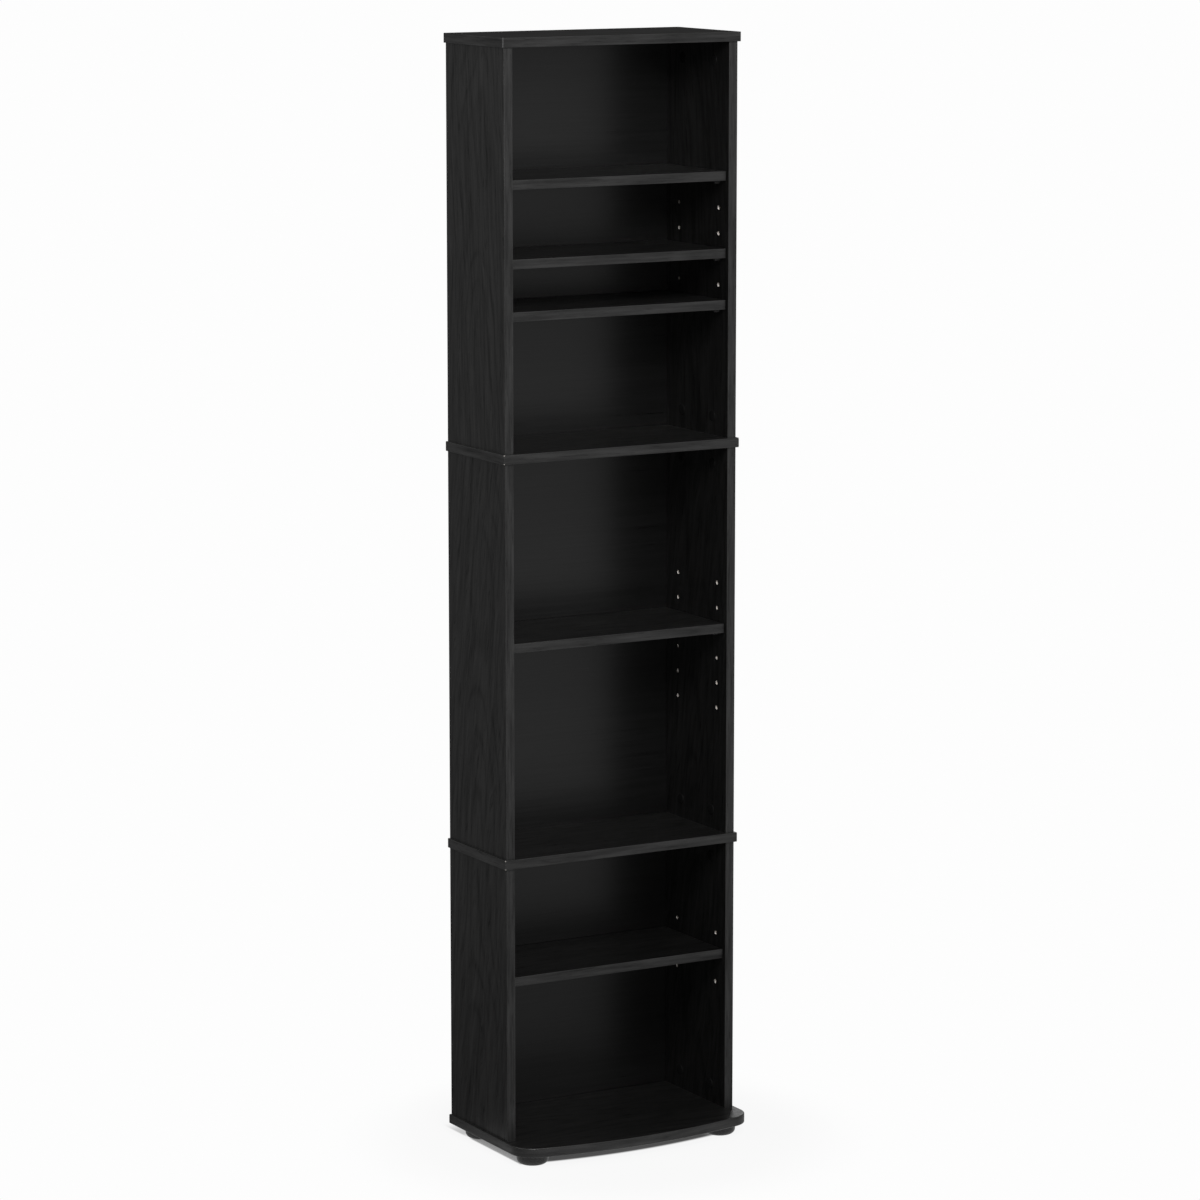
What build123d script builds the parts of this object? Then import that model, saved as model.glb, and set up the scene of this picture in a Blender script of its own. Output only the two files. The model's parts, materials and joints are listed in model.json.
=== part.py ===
from build123d import *
import os

os.makedirs("parts", exist_ok=True)

# A tall, narrow media shelf of three stacked sections. Lengths are in millimetres, Z is up,
# the open front faces -Y, and the origin is on the floor under the middle of the whole shelf.

# Boards: the top, the two through boards and the base board
board_width = 334
board_depth = 152
board_thickness = 12
board_overhang = 3          # past the side panels, at the sides and at the front
board_edge_ease = 0.6

# The base board reaches forward of the others, with a bowed front and round corners
base_bow = 58               # middle of the bow, forward of the other boards
base_shoulder = 36          # where the bow would meet the straight sides
base_corner_radius = 30
base_edge_round = 1.2

# Side panels, two for each section
panel_thickness = 12
panel_edge_ease = 0.6
lower_panel_height = 347
middle_panel_height = 492
upper_panel_height = 492

# Back panels, thin hardboard nailed over the back of the boards and side panels
back_thickness = 3
back_inset = 2              # in from the outline of the carcass
back_split_gap = 0.5        # between two back panels

# Shelf pin holes, in two columns on the inner face of every side panel
hole_radius = 2.5
hole_depth = 8
hole_pitch = 32
hole_front_setback = 24     # front column, from the panel's front edge
hole_column_spacing = 96
first_hole_height = 158     # above the panel's lower end, upper and middle sections
lower_first_hole_height = 161
upper_hole_count = 6
middle_hole_count = 6
lower_hole_count = 3

# Shelf pins
pin_hole_gap = 0.05         # round the pin in its hole
pin_seat = 7.5              # length in the hole
pin_reach = 6               # length under the shelf
pin_chamfer = 0.5

# Shelves that lie loose on the pins
shelf_thickness = 12
shelf_end_gap = 0.8         # to each side panel
shelf_setback = 5           # behind the panels' front edge
shelf_rear_gap = 1          # to the back panel
shelf_rest_gap = 0.1        # over the pins
shelf_edge_ease = 0.6
high_shelf_hole = 6         # counted from the lowest hole of the section
centre_shelf_hole = 3
low_shelf_hole = 1
middle_shelf_hole = 4
lower_shelf_hole = 2

# Feet under the base board, each held by one screw from below
foot_radius = 20
foot_height = 15
foot_round = 7
foot_side_inset = 31        # centre, from the base board's side
foot_front_reach = 11       # centre, forward of the upper boards' front
foot_rear_inset = 28        # centre, from the base board's back
foot_recess_radius = 5
foot_recess_depth = 6
screw_radius = 1.75
screw_grip = 9              # length in the base board
screw_head_radius = 3.6
screw_head_height = 2.4
screw_hole_gap = 0.05
screw_drive_width = 0.8
screw_drive_length = 4.2
screw_drive_depth = 1.2

# Cam fittings that draw the panel ends and the boards together
fitting_edge_distance = 37  # from the panel's front and back edges
cam_end_distance = 24       # from the panel's end to the middle of the cam
cam_radius = 6
cam_thickness = 9.5
cam_side_gap = 0.1
cam_bottom_gap = 0.2
cam_cover_depth = 2.6       # solid face of the cam, over the notch
cam_notch_gap = 0.3
cam_drive_width = 1.1
cam_drive_length = 7
cam_drive_depth = 1.3
bolt_head_radius = 2.9
bolt_head_length = 3
bolt_shank_radius = 2.2
bolt_thread_radius = 3
bolt_thread_length = 9
bolt_hole_gap = 0.05        # round the thread
bolt_bore_gap = 0.3         # round the head
cap_radius = 7
cap_thickness = 0.8
cap_taper = 30              # degrees
cap_peg_radius = 1.3
cap_peg_length = 1
cap_peg_gap = 0.1

# Wooden dowels between the two fittings of each panel end
dowel_radius = 3
dowel_in_panel = 17
dowel_in_board = 8
dowel_side_gap = 0.05
blind_hole_gap = 0.5
dowel_chamfer = 0.6

# Nails of the back panels
nail_radius = 0.7
nail_length = 16
nail_head_radius = 1.6
nail_head_thickness = 0.8
nail_gap = 0.05
nail_end_distance = 40      # first and last nail, from the panel's ends
nails_per_side = 5
board_nail_spacing = 105
board_nail_count = 3

# Levels, from the floor up
base_z = foot_height
lower_panel_z = base_z + board_thickness
lower_through_z = lower_panel_z + lower_panel_height
middle_panel_z = lower_through_z + board_thickness
upper_through_z = middle_panel_z + middle_panel_height
upper_panel_z = upper_through_z + board_thickness
top_z = upper_panel_z + upper_panel_height

# Places from the front to the back
overall_depth = base_bow + board_depth + back_thickness
base_front_y = -overall_depth / 2
board_front_y = base_front_y + base_bow
board_back_y = board_front_y + board_depth
board_middle_y = (board_front_y + board_back_y) / 2
panel_front_y = board_front_y + board_overhang
panel_depth = board_back_y - panel_front_y
panel_middle_y = (panel_front_y + board_back_y) / 2
back_outer_y = board_back_y + back_thickness
hole_columns = [
    panel_front_y + hole_front_setback,
    panel_front_y + hole_front_setback + hole_column_spacing,
]
fitting_ys = [panel_front_y + fitting_edge_distance, board_back_y - fitting_edge_distance]
dowel_y = (fitting_ys[0] + fitting_ys[-1]) / 2

# Places from side to side
carcass_half = board_width / 2 - board_overhang
inner_half = carcass_half - panel_thickness
panel_centre_x = inner_half + panel_thickness / 2
back_half = carcass_half - back_inset
sides = {"left": -1, "right": 1}

# Sizes that follow from the fits
pin_radius = hole_radius - pin_hole_gap
bolt_bore_radius = bolt_head_radius + bolt_bore_gap
bolt_bore_depth = cam_end_distance + bolt_head_length
dowel_hole_radius = dowel_radius + dowel_side_gap
cam_pocket_radius = cam_radius + cam_side_gap
cam_pocket_depth = cam_thickness + cam_bottom_gap
nail_board_xs = [(i - (board_nail_count - 1) / 2) * board_nail_spacing for i in range(board_nail_count)]

# Each section: its lower end, its height, its lowest pin hole and its number of hole rows
sections = {
    "lower": (lower_panel_z, lower_panel_height, lower_first_hole_height, lower_hole_count),
    "middle": (middle_panel_z, middle_panel_height, first_hole_height, middle_hole_count),
    "upper": (upper_panel_z, upper_panel_height, first_hole_height, upper_hole_count),
}


def inner_face(side):
    # Sketch plane on a side panel's inner face: its normal points into the shelf, its Y is up
    return Plane(origin=(side * inner_half, 0, 0), x_dir=(0, -side, 0), z_dir=(-side, 0, 0))


def on_inner_face(side, ys, zs):
    return [(-side * y, z) for y in ys for z in zs]


def upright_plane(y):
    # Sketch plane across the shelf at depth y: its normal points to the front, its Y is up
    return Plane.XZ.offset(-y)


def hole_heights(section):
    bottom, height, first_hole, rows = sections[section]
    return [bottom + first_hole + hole_pitch * row for row in range(rows)]


def cam_heights(section):
    bottom, height, first_hole, rows = sections[section]
    return [bottom + cam_end_distance, bottom + height - cam_end_distance]


def nail_heights(section):
    bottom, height, first_hole, rows = sections[section]
    step = (height - 2 * nail_end_distance) / (nails_per_side - 1)
    return [bottom + nail_end_distance + step * i for i in range(nails_per_side)]


def side_points(ys):
    # Points over the ends of both side panels
    return [(side * panel_centre_x, y) for side in sides.values() for y in ys]


def base_outline():
    # Straight back and sides, a bowed front and two round corners
    half = board_width / 2
    shoulder_y = board_front_y - base_shoulder
    with BuildSketch(Plane.XY.offset(base_z)) as outline:
        with BuildLine():
            Polyline((-half, shoulder_y), (-half, board_back_y), (half, board_back_y), (half, shoulder_y))
            ThreePointArc((half, shoulder_y), (0, base_front_y), (-half, shoulder_y))
        make_face()
        fillet(outline.vertices().group_by(Axis.Y)[0], radius=base_corner_radius)
    return outline.sketch


# Base board, with blind holes above for the fittings and below for the foot screws
foot_ys = {"front": board_front_y - foot_front_reach, "rear": board_back_y - foot_rear_inset}
foot_x = board_width / 2 - foot_side_inset
foot_points = [(side * foot_x, y) for side in sides.values() for y in foot_ys.values()]

with BuildPart() as base_board:
    add(base_outline())
    extrude(amount=board_thickness)
    fillet(base_board.edges().group_by(Axis.Z)[0], radius=base_edge_round)
    fillet(base_board.edges().group_by(Axis.Z)[-1], radius=base_edge_round)
    with BuildSketch(Plane.XY.offset(base_z + board_thickness)):
        with Locations(*side_points(fitting_ys)):
            Circle(bolt_thread_radius + bolt_hole_gap)
    extrude(amount=-(bolt_thread_length + blind_hole_gap), mode=Mode.SUBTRACT)
    with BuildSketch(Plane.XY.offset(base_z + board_thickness)):
        with Locations(*side_points([dowel_y])):
            Circle(dowel_hole_radius)
    extrude(amount=-(dowel_in_board + blind_hole_gap), mode=Mode.SUBTRACT)
    with BuildSketch(Plane.XY.offset(base_z)):
        with Locations(*foot_points):
            Circle(screw_radius + screw_hole_gap)
    extrude(amount=screw_grip + blind_hole_gap, mode=Mode.SUBTRACT)
    with BuildSketch(upright_plane(board_back_y)):
        with Locations(*[(x, base_z + board_thickness / 2) for x in nail_board_xs]):
            Circle(nail_radius + nail_gap)
    extrude(amount=nail_length - back_thickness + nail_gap, mode=Mode.SUBTRACT)
base_board.part.label = "base_board"
export_step(base_board.part, "parts/base_board.step")

# Top board, with blind holes in its underside for the fittings
with BuildPart() as top_board:
    with BuildSketch(Plane.XY.offset(top_z)):
        with Locations((0, board_middle_y)):
            Rectangle(board_width, board_depth)
    extrude(amount=board_thickness)
    fillet(top_board.edges(), radius=board_edge_ease)
    with BuildSketch(Plane.XY.offset(top_z)):
        with Locations(*side_points(fitting_ys)):
            Circle(bolt_thread_radius + bolt_hole_gap)
    extrude(amount=bolt_thread_length + blind_hole_gap, mode=Mode.SUBTRACT)
    with BuildSketch(Plane.XY.offset(top_z)):
        with Locations(*side_points([dowel_y])):
            Circle(dowel_hole_radius)
    extrude(amount=dowel_in_board + blind_hole_gap, mode=Mode.SUBTRACT)
    with BuildSketch(upright_plane(board_back_y)):
        with Locations(*[(x, top_z + board_thickness / 2) for x in nail_board_xs]):
            Circle(nail_radius + nail_gap)
    extrude(amount=nail_length - back_thickness + nail_gap, mode=Mode.SUBTRACT)
top_board.part.label = "top_board"
export_step(top_board.part, "parts/top_board.step")

# The two through boards, bored right through for the fittings of the sections above and below
through_boards = {"lower_through_board": lower_through_z, "upper_through_board": upper_through_z}

for name, level in through_boards.items():
    with BuildPart() as through_board:
        with BuildSketch(Plane.XY.offset(level)):
            with Locations((0, board_middle_y)):
                Rectangle(board_width, board_depth)
        extrude(amount=board_thickness)
        fillet(through_board.edges(), radius=board_edge_ease)
        with BuildSketch(Plane.XY.offset(level)):
            with Locations(*side_points(fitting_ys)):
                Circle(bolt_bore_radius)
            with Locations(*side_points([dowel_y])):
                Circle(dowel_hole_radius)
        extrude(amount=board_thickness, mode=Mode.SUBTRACT)
    through_board.part.label = name
    export_step(through_board.part, f"parts/{name}.step")

# Side panels: pin holes and cam pockets on the inner face, bores in both ends, nail holes behind
for section, (bottom, height, first_hole, rows) in sections.items():
    for side_name, side in sides.items():
        with BuildPart() as panel:
            with BuildSketch(Plane.XY.offset(bottom)):
                with Locations((side * panel_centre_x, panel_middle_y)):
                    Rectangle(panel_thickness, panel_depth)
            extrude(amount=height)
            fillet(panel.edges().filter_by(Axis.Z), radius=panel_edge_ease)
            with BuildSketch(inner_face(side)):
                with Locations(*on_inner_face(side, hole_columns, hole_heights(section))):
                    Circle(hole_radius)
            extrude(amount=-hole_depth, mode=Mode.SUBTRACT)
            with BuildSketch(inner_face(side)):
                with Locations(*on_inner_face(side, fitting_ys, cam_heights(section))):
                    Circle(cam_pocket_radius)
            extrude(amount=-cam_pocket_depth, mode=Mode.SUBTRACT)
            for end_z, inward in ((bottom, 1), (bottom + height, -1)):
                with BuildSketch(Plane.XY.offset(end_z)):
                    with Locations(*[(side * panel_centre_x, y) for y in fitting_ys]):
                        Circle(bolt_bore_radius)
                extrude(amount=inward * bolt_bore_depth, mode=Mode.SUBTRACT)
                with BuildSketch(Plane.XY.offset(end_z)):
                    with Locations((side * panel_centre_x, dowel_y)):
                        Circle(dowel_hole_radius)
                extrude(amount=inward * (dowel_in_panel + blind_hole_gap), mode=Mode.SUBTRACT)
            with BuildSketch(upright_plane(board_back_y)):
                with Locations(*[(side * panel_centre_x, z) for z in nail_heights(section)]):
                    Circle(nail_radius + nail_gap)
            extrude(amount=nail_length - back_thickness + nail_gap, mode=Mode.SUBTRACT)
        panel.part.label = f"{section}_{side_name}_panel"
        export_step(panel.part, f"parts/{section}_{side_name}_panel.step")

# Back panels and their nails: each panel ends at the middle of a through board, or just inside
# the outer face of the top or base board
back_spans = {
    "lower": (base_z + back_inset, lower_through_z + board_thickness / 2 - back_split_gap / 2),
    "middle": (
        lower_through_z + board_thickness / 2 + back_split_gap / 2,
        upper_through_z + board_thickness / 2 - back_split_gap / 2,
    ),
    "upper": (
        upper_through_z + board_thickness / 2 + back_split_gap / 2,
        top_z + board_thickness - back_inset,
    ),
}
board_nail_levels = {
    "lower": [base_z + board_thickness / 2],
    "middle": [],
    "upper": [top_z + board_thickness / 2],
}

for section, (low, high) in back_spans.items():
    nail_points = [(side * panel_centre_x, z) for side in sides.values() for z in nail_heights(section)]
    nail_points += [(x, z) for x in nail_board_xs for z in board_nail_levels[section]]

    with BuildPart() as back_panel:
        with BuildSketch(upright_plane(back_outer_y)):
            with Locations((0, (low + high) / 2)):
                Rectangle(2 * back_half, high - low)
        extrude(amount=back_thickness)
        with BuildSketch(upright_plane(back_outer_y)):
            with Locations(*nail_points):
                Circle(nail_head_radius + nail_gap)
        extrude(amount=nail_head_thickness, mode=Mode.SUBTRACT)
        with BuildSketch(upright_plane(back_outer_y)):
            with Locations(*nail_points):
                Circle(nail_radius + nail_gap)
        extrude(amount=back_thickness, mode=Mode.SUBTRACT)
    back_panel.part.label = f"{section}_back_panel"
    export_step(back_panel.part, f"parts/{section}_back_panel.step")

    with BuildPart() as back_nails:
        with BuildSketch(upright_plane(back_outer_y)):
            with Locations(*nail_points):
                Circle(nail_head_radius)
        extrude(amount=nail_head_thickness)
        with BuildSketch(upright_plane(back_outer_y)):
            with Locations(*nail_points):
                Circle(nail_radius)
        extrude(amount=nail_length)
    back_nails.part.label = f"{section}_back_nails"
    export_step(back_nails.part, f"parts/{section}_back_nails.step")

# Shelves, each lying on four pins: two in the left panel and two in the right one
shelf_holes = {
    "upper_high_shelf": ("upper", high_shelf_hole),
    "upper_centre_shelf": ("upper", centre_shelf_hole),
    "upper_low_shelf": ("upper", low_shelf_hole),
    "middle_shelf": ("middle", middle_shelf_hole),
    "lower_shelf": ("lower", lower_shelf_hole),
}
shelf_front_y = panel_front_y + shelf_setback
shelf_back_y = board_back_y - shelf_rear_gap

for name, (section, hole_number) in shelf_holes.items():
    pin_z = hole_heights(section)[0] + hole_pitch * (hole_number - 1)

    with BuildPart() as shelf_pins:
        for side in sides.values():
            with BuildSketch(inner_face(side).offset(pin_reach)):
                with Locations(*on_inner_face(side, hole_columns, [pin_z])):
                    Circle(pin_radius)
            extrude(amount=-(pin_reach + pin_seat))
        chamfer(shelf_pins.edges().filter_by(GeomType.CIRCLE), length=pin_chamfer)
    shelf_pins.part.label = f"{name}_pins"
    export_step(shelf_pins.part, f"parts/{name}_pins.step")

    with BuildPart() as shelf:
        with BuildSketch(Plane.XY.offset(pin_z + pin_radius + shelf_rest_gap)):
            with Locations((0, (shelf_front_y + shelf_back_y) / 2)):
                Rectangle(2 * (inner_half - shelf_end_gap), shelf_back_y - shelf_front_y)
        extrude(amount=shelf_thickness)
        fillet(shelf.edges(), radius=shelf_edge_ease)
    shelf.part.label = name
    export_step(shelf.part, f"parts/{name}.step")

# Feet: round pads with a rolled lower edge and a recess for the screw head
for side_name, side in sides.items():
    for end_name, foot_y in foot_ys.items():
        with BuildPart() as foot:
            with BuildSketch(Plane.XY):
                with Locations((side * foot_x, foot_y)):
                    Circle(foot_radius)
            extrude(amount=foot_height)
            fillet(foot.edges().group_by(Axis.Z)[0], radius=foot_round)
            with BuildSketch(Plane.XY):
                with Locations((side * foot_x, foot_y)):
                    Circle(foot_recess_radius)
            extrude(amount=foot_recess_depth, mode=Mode.SUBTRACT)
            with BuildSketch(Plane.XY):
                with Locations((side * foot_x, foot_y)):
                    Circle(screw_radius + screw_hole_gap)
            extrude(amount=foot_height, mode=Mode.SUBTRACT)
        foot.part.label = f"{end_name}_{side_name}_foot"
        export_step(foot.part, f"parts/{end_name}_{side_name}_foot.step")

# Foot screws: the head bears on the floor of the recess, the shank ends in the base board
screw_head_z = foot_recess_depth - screw_head_height

with BuildPart() as foot_screws:
    with BuildSketch(Plane.XY.offset(screw_head_z)):
        with Locations(*foot_points):
            Circle(screw_head_radius)
    extrude(amount=screw_head_height)
    with BuildSketch(Plane.XY.offset(foot_recess_depth)):
        with Locations(*foot_points):
            Circle(screw_radius)
    extrude(amount=foot_height - foot_recess_depth + screw_grip)
    with BuildSketch(Plane.XY.offset(screw_head_z)):
        with Locations(*foot_points):
            Rectangle(screw_drive_length, screw_drive_width)
            Rectangle(screw_drive_width, screw_drive_length)
    extrude(amount=screw_drive_depth, mode=Mode.SUBTRACT)
foot_screws.part.label = "foot_screws"
export_step(foot_screws.part, "parts/foot_screws.step")

# Cams and their cover caps. The notch of a cam opens towards the nearer end of its panel.
notch_width = 2 * (bolt_head_radius + cam_notch_gap)
notch_past_centre = bolt_head_length / 2 + cam_notch_gap
notch_length = cam_radius + notch_past_centre

for section in sections:
    low_cam_z, high_cam_z = cam_heights(section)

    with BuildPart() as cams:
        for side in sides.values():
            with BuildSketch(inner_face(side)):
                with Locations(*on_inner_face(side, fitting_ys, cam_heights(section))):
                    Circle(cam_radius)
            extrude(amount=-cam_thickness)
            with BuildSketch(inner_face(side).offset(-cam_cover_depth)):
                for cam_z, towards_end in ((low_cam_z, -1), (high_cam_z, 1)):
                    notch_z = cam_z + towards_end * (notch_length / 2 - notch_past_centre)
                    with Locations(*on_inner_face(side, fitting_ys, [notch_z])):
                        Rectangle(notch_width, notch_length)
            extrude(amount=-(cam_thickness - cam_cover_depth), mode=Mode.SUBTRACT)
            with BuildSketch(inner_face(side)):
                with Locations(*on_inner_face(side, fitting_ys, cam_heights(section))):
                    Circle(cap_peg_radius + cap_peg_gap)
                    Rectangle(cam_drive_length, cam_drive_width)
                    Rectangle(cam_drive_width, cam_drive_length)
            extrude(amount=-cam_drive_depth, mode=Mode.SUBTRACT)
    cams.part.label = f"{section}_cams"
    export_step(cams.part, f"parts/{section}_cams.step")

    with BuildPart() as cam_caps:
        for side in sides.values():
            with BuildSketch(inner_face(side)):
                with Locations(*on_inner_face(side, fitting_ys, cam_heights(section))):
                    Circle(cap_radius)
            extrude(amount=cap_thickness, taper=cap_taper)
            with BuildSketch(inner_face(side)):
                with Locations(*on_inner_face(side, fitting_ys, cam_heights(section))):
                    Circle(cap_peg_radius)
            extrude(amount=-cap_peg_length)
    cam_caps.part.label = f"{section}_cam_caps"
    export_step(cam_caps.part, f"parts/{section}_cam_caps.step")

# Cam bolts and dowels. Those of the top and base boards end in the board, and those of the
# through boards pass through it into the panels above and below.
joint_boards = {
    "base": (base_z, False, True),
    "lower_through": (lower_through_z, True, True),
    "upper_through": (upper_through_z, True, True),
    "top": (top_z, True, False),
}

for name, (level, panel_below, panel_above) in joint_boards.items():
    board_top = level + board_thickness
    bolt_low = level - cam_end_distance if panel_below else board_top - bolt_thread_length
    bolt_high = board_top + cam_end_distance if panel_above else level + bolt_thread_length
    dowel_low = level - dowel_in_panel if panel_below else board_top - dowel_in_board
    dowel_high = board_top + dowel_in_panel if panel_above else level + dowel_in_board

    with BuildPart() as cam_bolts:
        with BuildSketch(Plane.XY.offset(bolt_low)):
            with Locations(*side_points(fitting_ys)):
                Circle(bolt_shank_radius)
        extrude(amount=bolt_high - bolt_low)
        if panel_below:
            with BuildSketch(Plane.XY.offset(bolt_low - bolt_head_length / 2)):
                with Locations(*side_points(fitting_ys)):
                    Circle(bolt_head_radius)
            extrude(amount=bolt_head_length)
        else:
            with BuildSketch(Plane.XY.offset(bolt_low)):
                with Locations(*side_points(fitting_ys)):
                    Circle(bolt_thread_radius)
            extrude(amount=bolt_thread_length)
        if panel_above:
            with BuildSketch(Plane.XY.offset(bolt_high + bolt_head_length / 2)):
                with Locations(*side_points(fitting_ys)):
                    Circle(bolt_head_radius)
            extrude(amount=-bolt_head_length)
        else:
            with BuildSketch(Plane.XY.offset(bolt_high)):
                with Locations(*side_points(fitting_ys)):
                    Circle(bolt_thread_radius)
            extrude(amount=-bolt_thread_length)
    cam_bolts.part.label = f"{name}_cam_bolts"
    export_step(cam_bolts.part, f"parts/{name}_cam_bolts.step")

    with BuildPart() as dowels:
        with BuildSketch(Plane.XY.offset(dowel_low)):
            with Locations(*side_points([dowel_y])):
                Circle(dowel_radius)
        extrude(amount=dowel_high - dowel_low)
        chamfer(dowels.edges().filter_by(GeomType.CIRCLE), length=dowel_chamfer)
    dowels.part.label = f"{name}_dowels"
    export_step(dowels.part, f"parts/{name}_dowels.step")
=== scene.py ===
import json
import math

import bmesh
import bpy
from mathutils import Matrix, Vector

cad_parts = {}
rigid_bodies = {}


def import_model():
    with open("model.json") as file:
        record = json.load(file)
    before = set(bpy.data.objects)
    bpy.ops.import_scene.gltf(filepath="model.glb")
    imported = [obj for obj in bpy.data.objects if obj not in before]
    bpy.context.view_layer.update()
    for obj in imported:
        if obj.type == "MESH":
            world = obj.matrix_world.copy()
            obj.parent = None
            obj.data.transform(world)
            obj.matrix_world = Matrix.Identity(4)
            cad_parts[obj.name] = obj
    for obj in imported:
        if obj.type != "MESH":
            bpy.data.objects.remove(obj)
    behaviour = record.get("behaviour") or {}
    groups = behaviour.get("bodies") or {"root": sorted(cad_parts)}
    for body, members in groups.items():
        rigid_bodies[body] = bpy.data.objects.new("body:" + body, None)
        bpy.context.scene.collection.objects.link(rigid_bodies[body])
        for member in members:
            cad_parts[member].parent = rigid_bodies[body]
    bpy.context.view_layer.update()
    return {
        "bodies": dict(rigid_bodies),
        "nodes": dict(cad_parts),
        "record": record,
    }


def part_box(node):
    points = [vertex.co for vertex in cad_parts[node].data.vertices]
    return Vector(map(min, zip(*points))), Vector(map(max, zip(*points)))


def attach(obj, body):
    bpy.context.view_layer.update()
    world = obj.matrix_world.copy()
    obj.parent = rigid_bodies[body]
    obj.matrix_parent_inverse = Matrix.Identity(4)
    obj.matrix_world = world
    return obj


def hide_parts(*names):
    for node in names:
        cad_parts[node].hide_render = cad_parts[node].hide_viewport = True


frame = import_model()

nodes = frame["nodes"]
millimetre = 0.001
bodyOf = {n: body for body, members in frame["record"]["behaviour"]["bodies"].items() for n in members}
print("frame loaded:", len(nodes), "nodes")


# Node maths

class Signal:
    # one output of a node, which takes part in sums as a number does
    def __init__(self, sheet, socket):
        self.sheet = sheet
        self.socket = socket

    def maths(self, operation, *values):
        return self.sheet.add("ShaderNodeMath", {"operation": operation}, values)

    def __add__(self, other):
        return self.maths("ADD", self, other)

    def __radd__(self, other):
        return self.maths("ADD", other, self)

    def __sub__(self, other):
        return self.maths("SUBTRACT", self, other)

    def __rsub__(self, other):
        return self.maths("SUBTRACT", other, self)

    def __mul__(self, other):
        return self.maths("MULTIPLY", self, other)

    def __rmul__(self, other):
        return self.maths("MULTIPLY", other, self)

    def __truediv__(self, other):
        return self.maths("DIVIDE", self, other)

    def __rtruediv__(self, other):
        return self.maths("DIVIDE", other, self)

    def __pow__(self, other):
        return self.maths("POWER", self, other)

    def size(self):
        return self.maths("ABSOLUTE", self)

    def root(self):
        return self.maths("SQRT", self)

    def sine(self):
        return self.maths("SINE", self)

    def cosine(self):
        return self.maths("COSINE", self)

    def under(self, other):
        return self.maths("LESS_THAN", self, other)

    def least(self, other):
        return self.maths("MINIMUM", self, other)

    def most(self, other):
        return self.maths("MAXIMUM", self, other)

    def clipped(self):
        return self.least(1.0).most(0.0)

    def step(self, low, high, start=0.0, end=1.0):  # eases from start to end between low and high
        values = {"Value": self, "From Min": low, "From Max": high, "To Min": start, "To Max": end}
        return self.sheet.add("ShaderNodeMapRange", {"interpolation_type": "SMOOTHSTEP"}, values)


class Sheet:
    # a node tree that nodes are added to
    def __init__(self, tree):
        self.tree = tree
        tree.nodes.clear()

    def add(self, kind, settings=None, values=None, output=0):
        node = self.tree.nodes.new(kind)
        for key, value in (settings or {}).items():
            if key == "outline":
                self.setOutline(node.mapping, value)
            else:
                setattr(node, key, value)
        pairs = values.items() if isinstance(values, dict) else enumerate(values or ())
        for key, value in pairs:
            socket = self.find(node.inputs, key)
            if isinstance(value, Signal):
                self.tree.links.new(value.socket, socket)
            else:
                socket.default_value = value
        return Signal(self, self.find(node.outputs, output)) if node.outputs else None

    def setOutline(self, mapping, levels):
        points = mapping.curves[0].points
        while len(points) < len(levels):
            points.new(1.0, 1.0)
        for number, level in enumerate(levels):
            points[number].location = (number / (len(levels) - 1), level)
            points[number].handle_type = "VECTOR"
        mapping.update()

    def find(self, sockets, key):
        if isinstance(key, int):
            return sockets[key]
        for socket in sockets:
            if socket.identifier == key:
                return socket
        return sockets[key]

    def split(self, vector):
        node = self.add("ShaderNodeSeparateXYZ", None, [vector]).socket.node
        return [Signal(self, socket) for socket in node.outputs]

    def vector(self, operation, *values, output=0):
        return self.add("ShaderNodeVectorMath", {"operation": operation}, values, output)


class Shader(Sheet):
    # a material and its nodes
    def __init__(self, name):
        self.material = bpy.data.materials.new(name)
        self.material.use_nodes = True
        super().__init__(self.material.node_tree)

    def place(self):
        return self.add("ShaderNodeTexCoord", output="Object")

    def facing(self):  # the surface's direction in the object's own axes
        return self.split(self.add("ShaderNodeTexCoord", output="Normal"))

    def mixColour(self, factor, first, second):
        values = {"Factor_Float": factor, "A_Color": first, "B_Color": second}
        return self.add("ShaderNodeMix", {"data_type": "RGBA"}, values, "Result_Color")

    def mixVector(self, factor, first, second):
        values = {"Factor_Float": factor, "A_Vector": first, "B_Vector": second}
        return self.add("ShaderNodeMix", {"data_type": "VECTOR"}, values, "Result_Vector")

    def noise(self, vector, detail=2.0, roughness=0.5, distortion=0.0):
        values = {"Vector": vector, "Scale": 1.0, "Detail": detail, "Roughness": roughness,
                  "Distortion": distortion}
        return self.add("ShaderNodeTexNoise", None, values)

    def bump(self, height, strength, distance):
        values = {"Strength": strength, "Distance": distance, "Height": height}
        return self.add("ShaderNodeBump", None, values, "Normal")

    def finish(self, **sockets):
        named = {key.replace("_", " "): value for key, value in sockets.items()}
        return self.show(self.add("ShaderNodeBsdfPrincipled", None, named))

    def show(self, surface):
        self.add("ShaderNodeOutputMaterial", None, {"Surface": surface})
        return self.material


def grey(level, warm=0.0):  # a linear colour, slightly warm or cool
    return (level * (1 + warm), level, level * (1 - warm), 1.0)


# Black woodgrain foil on the boards, panels and shelves

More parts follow.
